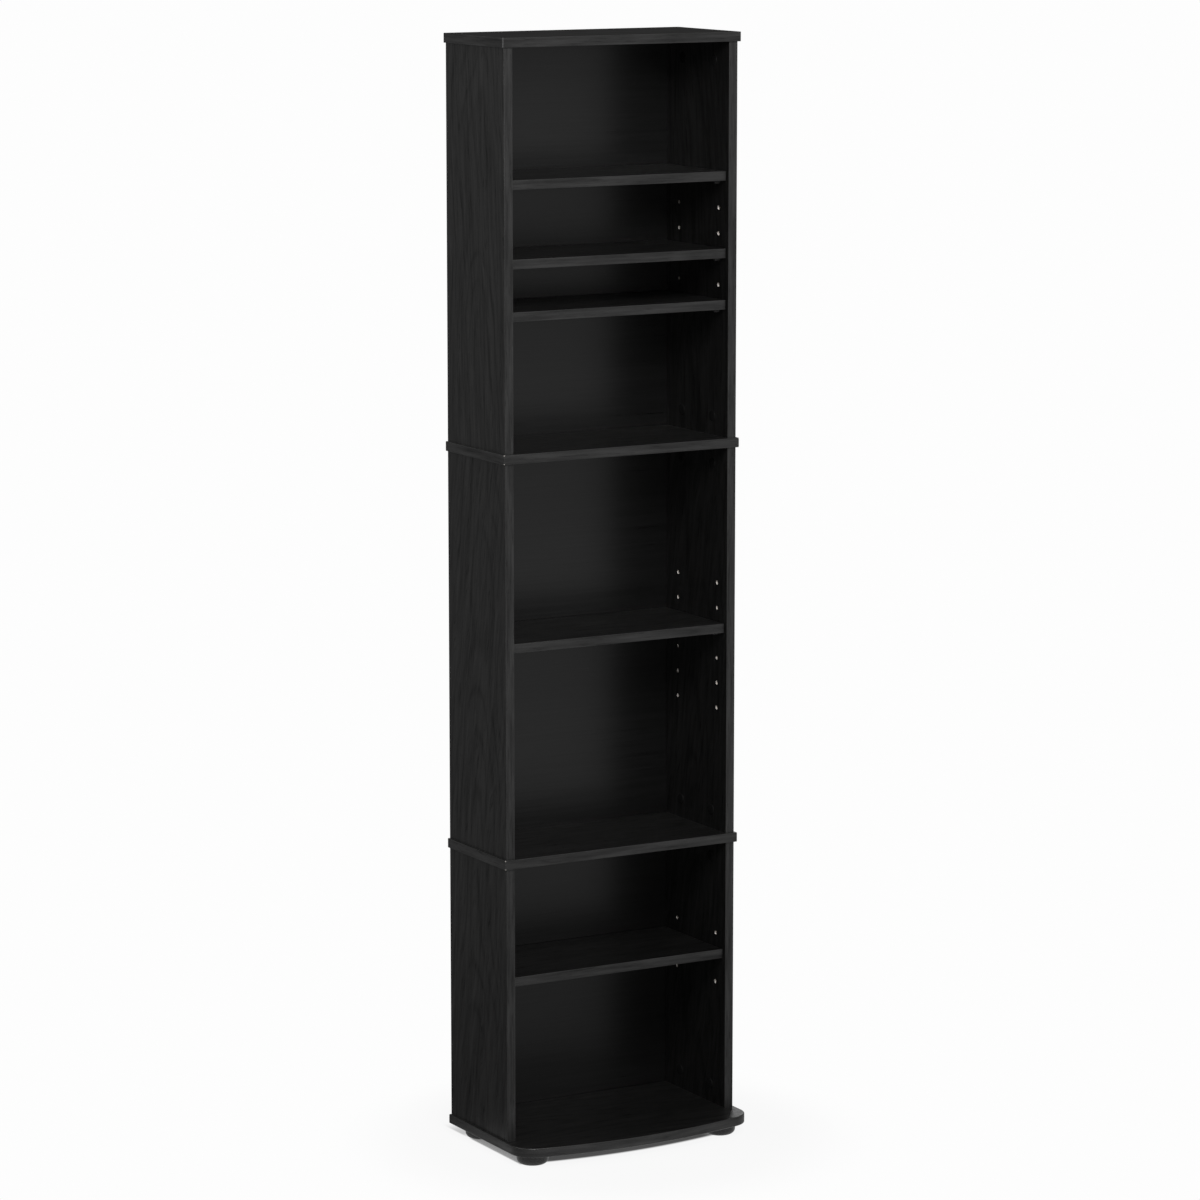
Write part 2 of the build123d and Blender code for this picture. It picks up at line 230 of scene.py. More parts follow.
woodgrain = {
    "dark": grey(0.0018, 0.02),
    "light": grey(0.0100, 0.02),
    "tone": {"middle": 0.555, "streaks": 1.8, "cloud": 0.5, "figure": -0.32, "pores": -0.26},
    "bandDark": grey(0.0060, 0.01),  # the edge band is lighter than the faces
    "bandLight": grey(0.0200, 0.01),
    "bandTone": {"middle": 0.57, "streaks": 3.0, "pores": -0.35},
    "faceFrom": (0.45, 0.75),        # how squarely a surface lies to be a face and not an edge
    # a pale line along every arris: a painted highlight, with some rubbed wear
    "rubbedHighlight": grey(0.0450),
    "rubbedHighlightShare": 0.22,
    "rubbedHighlightByStreaks": (0.35, 0.9),    # its least, and what the streaks add
    "arrisWidth": (0.35, 1.0),       # mm from the arris, where the painted highlight and rubbed wear are full and where they end
    # pale specks at the through boards' corners: painted glints where the edge bands meet, shaped as small
    # chips
    "chipGlint": (0.32, 0.30, 0.28, 1.0),
    "chipGlintWidth": (0.9, 1.5),
    "chipGlintRagged": 1.5,               # mm that the painted glint's chip-shaped outline wanders
    "cornerHighlight": grey(0.055),       # painted highlight along the top board's upright arrises, drawn as a worn line
    "cornerWidth": (0.8, 1.6),
    "rawDark": (0.76, 0.70, 0.63, 1.0),  # bare board in the pin holes
    "rawLight": (0.95, 0.92, 0.88, 1.0),
    "rawInside": (0.25, 0.35),       # mm in from the panel's faces where it starts
    "rawFromEnds": (60.0, 62.0),     # mm from the panel's ends
    "rawChips": (900.0, 900.0, 900.0),
    "rawChipTone": (0.35, 0.65),
    "rawRoughness": 0.35,            # added there
    "shift": (0.731, 0.417, 0.593),  # metres from one board's grain to the next one's
    "streaks": (5.0, 90.0),          # mm across the grain and along it
    "pores": (1.4, 22.0),
    "poreFrom": (0.56, 0.68),
    "cloud": (26.0, 200.0),
    "sway": 22.0,                    # mm that the streaks wander at most
    "lean": {"lower": 0.14, "middle": 0.16, "upper": -0.06},  # of each section's grain, forward going up
    "flow": (130.0, 300.0),
    "figureDepth": 110.0,            # mm, how far the figure's arches reach into the log
    "ringWidth": 12.0,               # mm between the lines of the figure
    "ringThin": 5.0,                 # the higher, the thinner the lines
    "ringRagged": 2.5,
    "ringFade": (0.35, 0.6, 0.25, 1.0),  # with the cloud, from faint to full
    "heart": {"aside": 11.0, "asideTurn": 2.3, "deep": 40.0, "stray": 9.0, "strayTurn": 1.7,
              "slope": 0.12},        # mm, where the log's heart lies under each board
    "roughness": {"middle": 0.42, "streaks": 0.16, "pores": 0.10, "rubbedHighlight": -0.06},
    "gloss": 0.12,                   # of the board itself; the rest is in the foil's lacquer
    "lacquer": {"middle": 0.77, "streaks": 1.1, "pores": -0.24, "figure": -0.18},
    "lacquerRoughness": 0.40,
    "reliefOf": {"streaks": 0.35, "pores": 0.6, "figure": 0.2},
    "relief": 0.25,
    "reliefDepth": 0.25,             # mm
}


def weigh(weights, marks):
    # the middle level, plus each mark times its weight
    level = weights["middle"]
    for name, weight in weights.items():
        if name != "middle":
            level = level + marks[name] * weight
    return level


def span(limits):  # millimetres to metres
    return [limit * millimetre for limit in limits]


def grainSpace(shader, place, edge, along, size):
    # coordinates that run slowly along the grain and fast across it; on an edge band of a board the
    # grain turns to follow the edge
    across = 1 / (size[0] * millimetre)
    slow = 1 / (size[1] * millimetre)
    if along == "z":
        return shader.vector("MULTIPLY", place, (across, across, slow))
    scale = shader.mixVector(edge, (slow, across, across), (slow, slow, across))
    return shader.vector("MULTIPLY", place, scale)


def boardFinish(node, along, seed, squareEnds=True, corners=None, lean=0.0):
    w = woodgrain
    shader = Shader("black_woodgrain_" + node)
    low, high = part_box(node)
    middle = (low + high) / 2
    half = (high - low) / 2
    upright = along == "z"
    own = shader.place()
    place = shader.vector("ADD", own, tuple(seed * each for each in w["shift"]))
    x, y, z = shader.split(own)
    facing = shader.facing()[0 if upright else 2].size()
    edge = 1 - facing.step(*w["faceFrom"])

    cloud = shader.noise(grainSpace(shader, place, edge, along, w["cloud"]), 2, 0.5)
    sway = (cloud - 0.5) * w["sway"]
    run = z if upright else x
    runMiddle = middle[2] if upright else middle[0]
    drift = sway * millimetre
    if lean:
        drift = drift + (run - runMiddle) * lean * (1 - edge)
    swung = shader.add("ShaderNodeCombineXYZ", None, {"Y": drift})
    place = shader.vector("ADD", place, swung)  # streaks and pores meander
    streaks = shader.noise(grainSpace(shader, place, edge, along, w["streaks"]), 4, 0.6)
    pores = shader.noise(grainSpace(shader, place, edge, along, w["pores"]), 2, 0.5)
    pore = pores.step(*w["poreFrom"])

    # the figure is a log's rings cut a little aslant, so its lines close into long arches
    heart = w["heart"]
    aside = (y - middle[1]) / millimetre + sway + heart["aside"] * math.sin(seed * heart["asideTurn"])
    flow = shader.noise(grainSpace(shader, place, edge, along, w["flow"]), 1, 0.5)
    depth = (flow - 0.5) * w["figureDepth"] + (run - runMiddle) / millimetre * heart["slope"]
    depth = depth + heart["deep"] + heart["stray"] * math.cos(seed * heart["strayTurn"])
    radius = (aside * aside + depth * depth).root() + (streaks - 0.5) * w["ringRagged"]
    ring = ((radius * (2 * math.pi / w["ringWidth"])).sine() * 0.5 + 0.5) ** w["ringThin"]
    figure = ring * (1 - edge) * cloud.step(*w["ringFade"])

    marks = {"streaks": streaks - 0.5, "cloud": cloud - 0.5, "figure": figure, "pores": pore}
    colour = shader.mixColour(weigh(w["tone"], marks).clipped(), w["dark"], w["light"])
    band = shader.mixColour(weigh(w["bandTone"], marks).clipped(), w["bandDark"], w["bandLight"])
    colour = shader.mixColour(edge, colour, band)

    # distances to the board's own faces give its arrises, and the walls of its holes
    gaps = [half[axis] - (value - middle[axis]).size() for axis, value in enumerate((x, y, z))]
    if squareEnds:
        near = gaps[0].least(gaps[1])
        far = gaps[0].most(gaps[1])
        arris = near.most(far.least(gaps[2]))
    else:
        arris = gaps[2].most((facing - 0.5).most(0.0))
    least, more = w["rubbedHighlightByStreaks"]
    # painted highlight along the arrises, partly rubbed wear, stronger on the light streaks
    rubbedHighlight = (1 - arris.step(*span(w["arrisWidth"]))) * (least + streaks * more)
    marks["rubbedHighlight"] = rubbedHighlight
    colour = shader.mixColour((rubbedHighlight * w["rubbedHighlightShare"]).least(1.0), colour, w["rubbedHighlight"])
    # painted glint at each corner of the through boards, shaped as a small chip
    if corners == "chipGlint":
        corner = far.most(gaps[2]) + (pores - 0.5) * w["chipGlintRagged"] * millimetre
        colour = shader.mixColour(1 - corner.step(*span(w["chipGlintWidth"])), colour, w["chipGlint"])
    # painted highlight along the top board's upright arrises
    if corners == "litArrises":
        colour = shader.mixColour(1 - far.step(*span(w["cornerWidth"])), colour, w["cornerHighlight"])
    rough = weigh(w["roughness"], marks)
    lacquer = weigh(w["lacquer"], marks).clipped()
    if upright:  # bare particleboard shows in the pin holes, well clear of the panel's ends
        deep = near.step(*span(w["rawInside"])) * gaps[2].step(*span(w["rawFromEnds"]))
        chips = shader.noise(shader.vector("MULTIPLY", place, w["rawChips"]), 3, 0.65)
        raw = shader.mixColour(chips.step(*w["rawChipTone"]), w["rawDark"], w["rawLight"])
        colour = shader.mixColour(deep, colour, raw)
        rough = rough + deep * w["rawRoughness"]
        lacquer = lacquer * (1 - deep)
    r = w["reliefOf"]
    relief = streaks * r["streaks"] - pore * r["pores"] - figure * r["figure"]
    normal = shader.bump(relief, w["relief"], w["reliefDepth"] * millimetre)
    return shader.finish(Base_Color=colour, Roughness=rough, Specular_IOR_Level=w["gloss"], Normal=normal,
                         Coat_Weight=lacquer, Coat_Roughness=w["lacquerRoughness"])


def assign(node, material):
    mesh = nodes[node].data
    mesh.materials.clear()
    mesh.materials.append(material)


boards = ["base_board", "lower_through_board", "upper_through_board", "top_board"]
sections = ["lower", "middle", "upper"]
shelves = [name for name in frame["bodies"] if name != "carcass"]
# through boards get painted corner glints, the top board a painted highlight on its upright arrises
cornersOf = {"lower_through_board": "chipGlint", "upper_through_board": "chipGlint", "top_board": "litArrises"}
for seed, node in enumerate(boards + shelves, 1):
    assign(node, boardFinish(node, "x", seed, node != "base_board", cornersOf.get(node)))
panels = [(section, section + side) for section in sections for side in ("_left_panel", "_right_panel")]
for seed, (section, node) in enumerate(panels, 21):
    assign(node, boardFinish(node, "z", seed, lean=woodgrain["lean"][section]))
print("boards finished")


# Hardboard backs, printed black inside and bare at the rear

hardboard = {
    "dark": grey(0.0012),
    "light": grey(0.0062),
    "tone": {"middle": 0.45, "grain": 2.2, "broad": 0.8, "flecks": -0.3},
    "rearDark": (0.052, 0.031, 0.018, 1.0),
    "rearLight": (0.130, 0.083, 0.050, 1.0),
    "rearTone": {"middle": 0.5, "fibre": 2.0, "broad": 0.9, "screen": 0.10},
    "rearFrom": (0.3, 0.7),          # how far a surface faces the rear
    "shift": (0.37, 0.11, 0.53),     # metres from one back's grain to the next one's
    "grain": (9.0, 400.0, 420.0),    # changes in a metre, across, deep and up
    "fine": (60.0, 900.0, 1300.0),
    "fleckFrom": (0.58, 0.7),
    "broad": (3.0, 20.0, 24.0),
    "fibre": (700.0, 700.0, 260.0),
    "meshPitch": 1.6,                # mm between the marks of the press screen
    "roughness": 0.30,
    "rearRoughness": 0.42,           # added at the rear
    "grainRoughness": 0.12,
    "gloss": 0.5,
    "frontRelief": 0.4,
    "screenRelief": 0.5,
    "relief": 0.25,
    "reliefDepth": 0.25,             # mm
}


def backFinish(node, seed):
    h = hardboard
    shader = Shader("black_hardboard_" + node)
    own = shader.place()
    place = shader.vector("ADD", own, tuple(seed * each for each in h["shift"]))
    x, y, z = shader.split(place)
    rear = shader.facing()[1].step(*h["rearFrom"])
    grain = shader.noise(shader.vector("MULTIPLY", place, h["grain"]), 4, 0.6)
    fine = shader.noise(shader.vector("MULTIPLY", place, h["fine"]), 2, 0.5)
    broad = shader.noise(shader.vector("MULTIPLY", place, h["broad"]), 2, 0.5)
    fibre = shader.noise(shader.vector("MULTIPLY", place, h["fibre"]), 5, 0.7, 0.6)
    turn = 2 * math.pi / (h["meshPitch"] * millimetre)
    screen = (x * turn).sine() * (z * turn).sine()
    marks = {"grain": grain - 0.5, "broad": broad - 0.5, "flecks": fine.step(*h["fleckFrom"]),
             "fibre": fibre - 0.5, "screen": screen}
    front = shader.mixColour(weigh(h["tone"], marks).clipped(), h["dark"], h["light"])
    back = shader.mixColour(weigh(h["rearTone"], marks).clipped(), h["rearDark"], h["rearLight"])
    colour = shader.mixColour(rear, front, back)
    relief = grain * h["frontRelief"] * (1 - rear) + (screen * h["screenRelief"] + fibre) * rear
    rough = h["roughness"] + rear * h["rearRoughness"] + (grain - 0.5) * h["grainRoughness"]
    normal = shader.bump(relief, h["relief"], h["reliefDepth"] * millimetre)
    return shader.finish(Base_Color=colour, Roughness=rough, Specular_IOR_Level=h["gloss"], Normal=normal)


for seed, section in enumerate(sections, 1):
    assign(section + "_back_panel", backFinish(section + "_back_panel", seed))
print("backs finished")


# Moulded plastic, zinc and bare wood

plastics = {
    "pin": {"dark": grey(0.035), "light": grey(0.065), "roughness": 0.42, "gloss": 0.50, "lacquer": 0.6,
            "grainSize": 0.35, "relief": 0.12},
    "cap": {"dark": grey(0.004), "light": grey(0.010), "roughness": 0.60, "gloss": 0.10, "lacquer": 0.15,
            "grainSize": 0.35, "relief": 0.12},
    "foot": {"dark": grey(0.050), "light": grey(0.060), "roughness": 0.34, "gloss": 0.35, "lacquer": 0.0,
             "grainSize": 0.30, "relief": 0.04},
}
moulding = {
    "broadSize": 24,                 # grains across a broad cloud
    "tone": {"middle": 0.5, "fine": 0.8, "broad": 1.2},
    "unevenness": {"fine": 0.12, "broad": 0.10},  # of the roughness
    "lacquerRoughness": 0.40,
    "reliefDepth": 0.1,              # mm
}


def plasticFinish(kind):
    p = plastics[kind]
    m = moulding
    shader = Shader(kind + "_black_plastic")
    place = shader.place()
    grain = p["grainSize"] * millimetre
    cloud = grain * m["broadSize"]
    fine = shader.noise(shader.vector("DIVIDE", place, (grain, grain, grain)), 3, 0.6)
    broad = shader.noise(shader.vector("DIVIDE", place, (cloud, cloud, cloud)), 2, 0.5)
    marks = {"fine": fine - 0.5, "broad": broad - 0.5}
    colour = shader.mixColour(weigh(m["tone"], marks).clipped(), p["dark"], p["light"])
    rough = weigh({"middle": p["roughness"], **m["unevenness"]}, marks)
    normal = shader.bump(fine, p["relief"], m["reliefDepth"] * millimetre)
    return shader.finish(Base_Color=colour, Roughness=rough, Specular_IOR_Level=p["gloss"], Normal=normal,
                         Coat_Weight=p["lacquer"], Coat_Roughness=m["lacquerRoughness"])


metals = {
    "zinc_plated_steel": {"dark": (0.50, 0.50, 0.49, 1.0), "light": (0.70, 0.70, 0.68, 1.0),
                          "roughness": 0.34, "scratchSize": 0.4},
    "cast_zinc": {"dark": (0.30, 0.30, 0.31, 1.0), "light": (0.50, 0.50, 0.51, 1.0),
                  "roughness": 0.52, "scratchSize": 0.3},
}
plating = {
    "scratchRun": 0.12,              # how slowly the scratches change along Y
    "bloom": 0.15,                   # and the zinc's bloom, all ways
    "tone": {"middle": 0.5, "brushed": 1.0, "bloom": 1.4},
    "unevenness": {"brushed": 0.2, "bloom": 0.2},  # of the roughness
    "relief": 0.10,
    "reliefDepth": 0.05,             # mm
}


def metalFinish(name):
    m = metals[name]
    p = plating
    shader = Shader(name)
    place = shader.place()
    scratches = 1 / (m["scratchSize"] * millimetre)
    scale = (scratches, p["scratchRun"] * scratches, scratches)
    brushed = shader.noise(shader.vector("MULTIPLY", place, scale), 4, 0.6)
    clouds = (p["bloom"] * scratches,) * 3
    bloom = shader.noise(shader.vector("MULTIPLY", place, clouds), 3, 0.6)
    marks = {"brushed": brushed - 0.5, "bloom": bloom - 0.5}
    colour = shader.mixColour(weigh(p["tone"], marks).clipped(), m["dark"], m["light"])
    rough = weigh({"middle": m["roughness"], **p["unevenness"]}, marks)
    normal = shader.bump(brushed, p["relief"], p["reliefDepth"] * millimetre)
    return shader.finish(Base_Color=colour, Metallic=1.0, Roughness=rough, Normal=normal)


dowelWood = {
    "dark": (0.50, 0.35, 0.20, 1.0),
    "light": (0.70, 0.53, 0.34, 1.0),
    "fleck": (0.30, 0.18, 0.09, 1.0),
    "fleckShare": 0.5,
    "fibres": (1600.0, 1600.0, 90.0),  # changes in a metre
    "fibreTone": (0.3, 0.7),
    "flecks": (2600.0, 2600.0, 500.0),
    "fleckFrom": (0.6, 0.7),
    "roughness": 0.7,
    "unevenness": 0.2,
    "relief": 0.3,
    "reliefDepth": 0.1,              # mm
}


def dowelFinish():
    d = dowelWood
    shader = Shader("dowel_beech")
    place = shader.place()
    fibre = shader.noise(shader.vector("MULTIPLY", place, d["fibres"]), 4, 0.6)
    fleck = shader.noise(shader.vector("MULTIPLY", place, d["flecks"]), 2, 0.5).step(*d["fleckFrom"])
    colour = shader.mixColour(fibre.step(*d["fibreTone"]), d["dark"], d["light"])
    colour = shader.mixColour(fleck * d["fleckShare"], colour, d["fleck"])
    rough = d["roughness"] + (fibre - 0.5) * d["unevenness"]
    normal = shader.bump(fibre, d["relief"], d["reliefDepth"] * millimetre)
    return shader.finish(Base_Color=colour, Roughness=rough, Normal=normal)


pinBlack = plasticFinish("pin")
capBlack = plasticFinish("cap")
footBlack = plasticFinish("foot")
zincSteel = metalFinish("zinc_plated_steel")
castZinc = metalFinish("cast_zinc")
beech = dowelFinish()
finishOf = {"_pins": pinBlack, "_cam_caps": capBlack, "_foot": footBlack, "_cams": castZinc,
            "_nails": zincSteel, "_bolts": zincSteel, "_screws": zincSteel, "_dowels": beech}
for node in nodes:
    for ending, finish in finishOf.items():
        if node.endswith(ending):
            assign(node, finish)
print("fittings finished")


# Turned small pieces: shelf pins, nails and cam caps

pinShape = {
    "sides": 24,
    "outline": [        # radius and length as shares, from the end in the panel to the free end
        (0.0, 0.0), (0.80, 0.0), (0.92, 0.03), (0.92, 0.12), (1.0, 0.16), (0.92, 0.20), (0.92, 0.32),
        (1.0, 0.36), (0.92, 0.40), (0.94, 0.54), (0.985, 0.555), (0.985, 0.92), (0.955, 0.97),
        (0.86, 0.995), (0.30, 1.0), (0.22, 0.985), (0.0, 0.985)],
}
nailShape = {
    "sides": 20,
    "outline": [        # from the point to the head
        (0.0, 0.0), (0.14, 0.02), (0.40, 0.09), (0.42, 0.12), (0.42, 0.30), (0.45, 0.32), (0.42, 0.34),
        (0.42, 0.88), (0.46, 0.90), (0.80, 0.93), (0.94, 0.945), (1.0, 0.960), (1.0, 0.985), (0.93, 1.0),
        (0.50, 1.0), (0.44, 0.994), (0.0, 0.992)],
}
capShape = {
    "sides": 36,
    "outline": [        # from the pocket to the face that shows
        (0.0, 0.0), (0.80, 0.0), (0.84, 0.05), (0.84, 0.50), (0.86, 0.555), (0.99, 0.56), (1.0, 0.60),
        (0.99, 0.76), (0.955, 0.88), (0.90, 0.94), (0.86, 0.94), (0.84, 0.91), (0.82, 0.94), (0.50, 0.985),
        (0.12, 1.0), (0.08, 0.97), (0.0, 0.97)],
}


turning = {
    "weld": 0.005,          # mm, points nearer than this become one
    "sharp": 0.6,           # radians, an edge that bends more stays crisp
    "nodeWeld": 0.001,      # mm, joins the loose triangles of a node
}


def turnedTree(name, outline):
    # puts a turned piece on every point, its axis along the point's aim
    tree = bpy.data.node_groups.new(name, "GeometryNodeTree")
    kinds = {"Points": "NodeSocketGeometry", "Radius": "NodeSocketFloat", "Length": "NodeSocketFloat",
             "Sides": "NodeSocketInt", "Finish": "NodeSocketMaterial"}
    for label, kind in kinds.items():
        tree.interface.new_socket(name=label, in_out="INPUT", socket_type=kind)
    tree.interface.new_socket(name="Pieces", in_out="OUTPUT", socket_type="NodeSocketGeometry")
    sheet = Sheet(tree)
    given = sheet.add("NodeGroupInput").socket.node
    take = {label: Signal(sheet, given.outputs[label]) for label in kinds}
    grid = sheet.add("GeometryNodeMeshGrid", None, {
        "Size X": 1.0, "Size Y": 1.0, "Vertices X": take["Sides"] + 1, "Vertices Y": len(outline)})
    x, y, z = sheet.split(sheet.add("GeometryNodeInputPosition"))
    around = (x + 0.5) * (2 * math.pi)
    radii = sheet.add("ShaderNodeFloatCurve", {"outline": [r for r, l in outline]}, {"Value": y + 0.5})
    lengths = sheet.add("ShaderNodeFloatCurve", {"outline": [l for r, l in outline]}, {"Value": y + 0.5})
    radius = take["Radius"] * radii
    place = sheet.add("ShaderNodeCombineXYZ", None, [
        radius * around.cosine(), radius * around.sine(), take["Length"] * lengths])
    shape = sheet.add("GeometryNodeSetPosition", None, {"Geometry": grid, "Position": place})
    shape = sheet.add("GeometryNodeMergeByDistance", None, {
        "Geometry": shape, "Distance": turning["weld"] * millimetre})
    bend = sheet.add("GeometryNodeInputMeshEdgeAngle", output="Unsigned Angle")
    shape = sheet.add("GeometryNodeSetShadeSmooth", {"domain": "EDGE"}, {
        "Geometry": shape, "Shade Smooth": bend.under(turning["sharp"])})
    aim = sheet.add("GeometryNodeInputNamedAttribute", {"data_type": "FLOAT_VECTOR"}, {"Name": "aim"})
    turn = sheet.add("FunctionNodeAlignRotationToVector", {"axis": "Z"}, {"Vector": aim})
    placed = sheet.add("GeometryNodeInstanceOnPoints", None, {
        "Points": take["Points"], "Instance": shape, "Rotation": turn})
    real = sheet.add("GeometryNodeRealizeInstances", None, {"Geometry": placed})
    done = sheet.add("GeometryNodeSetMaterial", None, {"Geometry": real, "Material": take["Finish"]})
    sheet.add("NodeGroupOutput", None, {"Pieces": done})
    return tree


def solidBoxes(node):
    # the lowest and highest corner of each loose solid of a node
    work = bmesh.new()
    work.from_mesh(nodes[node].data)
    bmesh.ops.remove_doubles(work, verts=work.verts, dist=turning["nodeWeld"] * millimetre)
    left = set(work.verts)
    boxes = []
    while left:
        found = [left.pop()]
        for corner in found:  # the list grows as its corners' neighbours join it
            near = {edge.other_vert(corner) for edge in corner.link_edges} & left
            left -= near
            found += near
        corners = [[f(v.co[axis] for v in found) for axis in range(3)] for f in (min, max)]
        boxes.append((Vector(corners[0]), Vector(corners[1])))
    work.free()
    return sorted(boxes, key=lambda box: tuple(box[0]))


def turnedSet(name, node, shape, tree, axis, outward, finish):
    # replaces a node of small solids by turned pieces that stand where the solids are
    boxes = solidBoxes(node)
    across = (axis + 1) % 3
    length = boxes[0][1][axis] - boxes[0][0][axis]
    radius = (boxes[0][1][across] - boxes[0][0][across]) / 2
    points, aims = [], []
    for low, high in boxes:
        middle = (low + high) / 2
        aim = Vector((0.0, 0.0, 0.0))
        aim[axis] = outward(middle)
        points.append(middle - aim * length / 2)
        aims.append(aim)
    carrier = bpy.data.meshes.new(name + "_points")
    carrier.from_pydata(points, [], [])
    attribute = carrier.attributes.new("aim", "FLOAT_VECTOR", "POINT")
    attribute.data.foreach_set("vector", [value for aim in aims for value in aim])
    holder = bpy.data.objects.new(name + "_points", carrier)
    bpy.context.scene.collection.objects.link(holder)
    modifier = holder.modifiers.new("turned", "NODES")
    modifier.node_group = tree
    sizes = {"Radius": radius, "Length": length, "Sides": shape["sides"], "Finish": finish}
    for item in tree.interface.items_tree:
        if item.name in sizes:
            modifier[item.identifier] = sizes[item.name]
    ready = holder.evaluated_get(bpy.context.evaluated_depsgraph_get())
    mesh = bpy.data.meshes.new_from_object(ready)
    mesh.name = name
    bpy.data.objects.remove(holder)
    piece = bpy.data.objects.new(name, mesh)
    bpy.context.scene.collection.objects.link(piece)
    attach(piece, bodyOf[node])
    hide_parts(node)
    return piece


def towardsMiddle(place):
    return -1.0 if place.x > 0 else 1.0


def towardsRear(place):
    return 1.0


pinTree = turnedTree("shelf_pin", pinShape["outline"])
nailTree = turnedTree("back_nail", nailShape["outline"])
capTree = turnedTree("cam_cap", capShape["outline"])
for shelf in shelves:
    turnedSet(shelf + "_pin_set", shelf + "_pins", pinShape, pinTree, 0, towardsMiddle,
              pinBlack)
for section in sections:
    turnedSet(section + "_back_nail_set", section + "_back_nails", nailShape, nailTree, 1, towardsRear,
              zincSteel)
    turnedSet(section + "_cam_cap_set", section + "_cam_caps", capShape, capTree, 0, towardsMiddle,
              capBlack)
print("turned pieces placed")


# Floor, light and camera

studio = {
    "white": 0.983,               # the background's level
    "floorRadius": 70.0,
    "floorSides": 96,
    "floorColour": grey(0.70),
    "shadowShare": 0.07,          # how much of the floor's own shading the camera sees near the shelf
    "shadowReach": (0.20, 0.36),
    "roomLight": 0.13,            # the room's light on the shelf
    "mirrorTowards": (0.50, -0.87, 0.0),
    "mirrorTurn": (-0.6, 0.8),    # from the side behind the shelf round to the room's open side
    "mirrorLevels": (0.135, 0.51),  # what satin faces mirror there
    "dimFloor": (0.4, 1.8),       # the mirrored floor is dimmer close by
    "dimFloorLevel": 0.58,
    "whiteFloor": (0.17, 0.25),   # but white right at the feet
    "whiteFloorLevel": 0.42,
    "rearDim": 0.30,              # the room behind is darker still above the horizon
    "rearAside": (-0.1, 0.3),     # where that starts, to the right
    "rearBehind": (0.2, 0.6),     # and behind
    "underBase": (0.026, 0.034),  # metres in from the base's front where the floor's shade starts to show
    "underSides": 2.1,            # how much nearer it comes to the base's sides
    "underLevel": (0.24, 0.06),   # the white that still shows in it, at its sides and further in
    "sideBand": (0.026, 0.060),   # how far in from a side it turns from the one to the other
    "rearLevel": 0.50,            # the white in the soft shade on the floor just behind
    "rearShade": (-0.03, 0.0, 0.005, 0.050),  # where it starts and ends, metres behind the base
    "baseBow": 0.022,             # how far the base's front bows
    "lowCard": {"at": (1.40, 2.10, 0.62), "wide": 1.6, "tall": 1.0, "bright": 1.25},
    "lamps": {
        "front_left_softbox": {"at": (-0.85, -2.33, 2.60), "towards": (0.0, 0.0, 0.75), "wide": 1.4,
                               "tall": 1.2, "power": 72.0},
        "left_softbox": {"at": (-2.50, 0.50, 1.90), "towards": (0.0, 0.0, 0.95), "wide": 1.2,
                         "tall": 1.2, "power": 27.0},
    },
}


def mirroredRoom(shader, vector):
    # how bright the room looks to a satin face, seen in the direction of the vector
    flat = shader.vector("NORMALIZE", shader.vector("MULTIPLY", vector, (1.0, 1.0, 0.0)))
    turn = shader.vector("DOT_PRODUCT", flat, studio["mirrorTowards"], output="Value")
    return turn.step(*studio["mirrorTurn"], *studio["mirrorLevels"])


def rays(sheet):
    # which rays see the white background, and which see what gloss mirrors
    camera, clear, glossy = [sheet.add("ShaderNodeLightPath", output="Is %s Ray" % kind)
                             for kind in ("Camera", "Transmission", "Glossy")]
    return camera.most(clear), glossy


def makeFloor():
    s = studio
    bpy.ops.mesh.primitive_circle_add(vertices=s["floorSides"], radius=s["floorRadius"], fill_type="NGON")
    floor = bpy.context.object
    floor.name = "studio_floor"
    shader = Shader("pale_floor")
    place = shader.place()
    x, y, z = shader.split(place)
    distance = shader.vector("LENGTH", place, output="Value")
    share = distance.step(*s["shadowReach"], 1 - s["shadowShare"], 1.0)

    # the shade under the base and just behind it
    low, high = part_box("base_board")
    front = y - low[1] - x * x * (s["baseBow"] / high[0] ** 2)
    sideways = high[0] - x.size()
    sides = sideways * s["underSides"]
    inside = sides.least(front).least(high[1] - y)
    under = sideways.step(*s["sideBand"], *s["underLevel"])
    share = share * inside.step(*s["underBase"], 1.0, under)
    beyond = y - high[1]
    starts, full, fades, ends = s["rearShade"]
    behind = beyond.step(starts, full) * (1 - beyond.step(fades, ends)) * sides.step(*s["underBase"])
    share = share * (1 - behind * (1 - s["rearLevel"]))

    seen, mirrored = rays(shader)
    dim = distance.step(*s["dimFloor"], s["dimFloorLevel"], 1.0)
    near = 1 - distance.step(*s["whiteFloor"])
    level = seen * s["white"] + mirrored * (mirroredRoom(shader, place) * dim + near * s["whiteFloorLevel"])
    own = shader.add("ShaderNodeBsdfDiffuse", None, {"Color": s["floorColour"]})
    bright = shader.add("ShaderNodeEmission", None, {"Strength": level})
    mixed = shader.add("ShaderNodeMixShader", None, [(seen * share).most(mirrored), own, bright])
    floor.data.materials.append(shader.show(mixed))


def makeRoom():
    s = studio
    world = bpy.data.worlds.new("studio_room")
    bpy.context.scene.world = world
    world.use_nodes = True
    sheet = Sheet(world.node_tree)
    seen, mirrored = rays(sheet)
    direction = sheet.add("ShaderNodeTexCoord", output="Generated")
    plain = (1 - seen.most(mirrored)) * s["roomLight"]
    x, y, z = sheet.split(direction)
    rear = 1 - x.step(*s["rearAside"]) * y.step(*s["rearBehind"]) * (1 - s["rearDim"])
    level = seen * s["white"] + mirrored * mirroredRoom(sheet, direction) * rear + plain
    light = sheet.add("ShaderNodeBackground", None, {"Color": grey(1.0), "Strength": level})
    sheet.add("ShaderNodeOutputWorld", None, {"Surface": light})


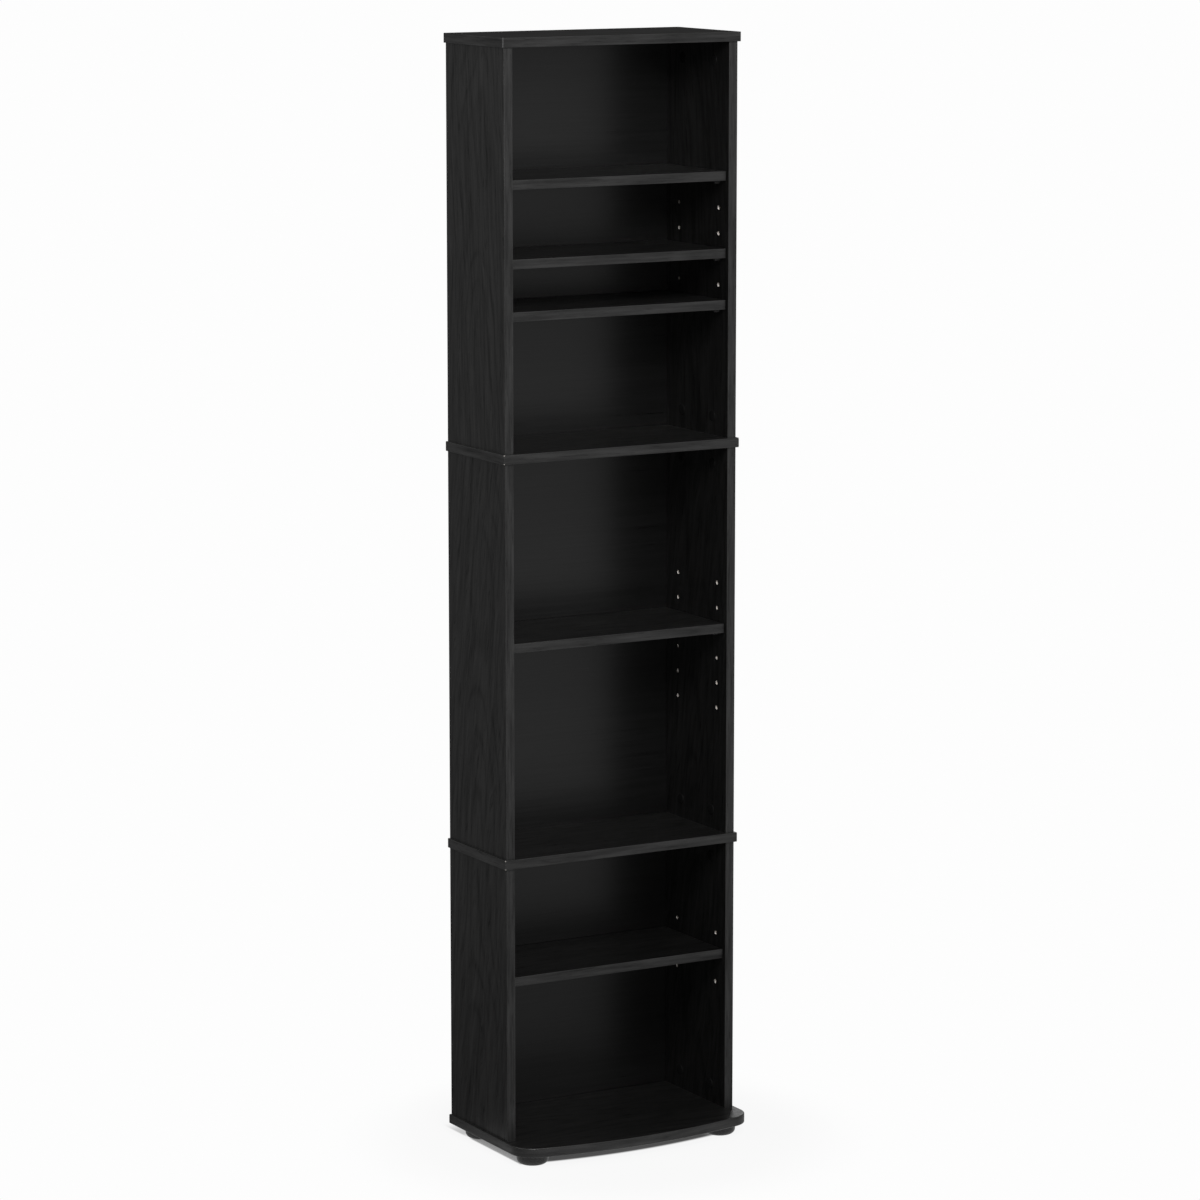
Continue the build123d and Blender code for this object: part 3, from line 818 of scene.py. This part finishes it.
def makeCard():
    # a low white card behind, which only gloss shows; it brightens the base's top and not the top board
    c = studio["lowCard"]
    middle = Vector(c["at"])
    across = Vector((middle.y, -middle.x, 0.0)).normalized() * c["wide"] / 2
    upward = Vector((0.0, 0.0, c["tall"] / 2))
    corners = [middle - across - upward, middle + across - upward, middle + across + upward,
               middle - across + upward]
    mesh = bpy.data.meshes.new("low_card")
    mesh.from_pydata(corners, [], [(0, 1, 2, 3)])
    card = bpy.data.objects.new("low_card", mesh)
    bpy.context.scene.collection.objects.link(card)
    shader = Shader("card_white")
    mirrored = shader.add("ShaderNodeLightPath", output="Is Glossy Ray")
    clear = shader.add("ShaderNodeBsdfTransparent")
    bright = shader.add("ShaderNodeEmission", None, {"Strength": c["bright"]})
    mixed = shader.add("ShaderNodeMixShader", None, [mirrored, clear, bright])
    mesh.materials.append(shader.show(mixed))


def makeLamps():
    for name, lamp in studio["lamps"].items():
        data = bpy.data.lights.new(name, "AREA")
        data.shape = "RECTANGLE"
        data.size = lamp["wide"]
        data.size_y = lamp["tall"]
        data.energy = lamp["power"]
        softbox = bpy.data.objects.new(name, data)
        bpy.context.scene.collection.objects.link(softbox)
        softbox.location = lamp["at"]
        aim = Vector(lamp["towards"]) - Vector(lamp["at"])
        softbox.rotation_euler = aim.to_track_quat("-Z", "Y").to_euler()


view = {
    "at": (-2.8555, -4.9994, 1.6587),
    "yaw": 29.688,       # degrees to the right of straight ahead
    "pitch": 9.539,      # degrees down
    "lens": 140.42,
    "sensor": 36.0,
    "reach": 200.0,      # metres
}


def makeCamera():
    data = bpy.data.cameras.new("studio_camera")
    data.lens = view["lens"]
    data.sensor_width = view["sensor"]
    data.clip_end = view["reach"]
    camera = bpy.data.objects.new("studio_camera", data)
    bpy.context.scene.collection.objects.link(camera)
    camera.location = view["at"]
    camera.rotation_euler = (math.radians(90 - view["pitch"]), 0.0, -math.radians(view["yaw"]))
    bpy.context.scene.camera = camera


makeFloor()
makeRoom()
makeCard()
makeLamps()
makeCamera()
bpy.context.scene.view_settings.view_transform = "Standard"
print("studio ready")
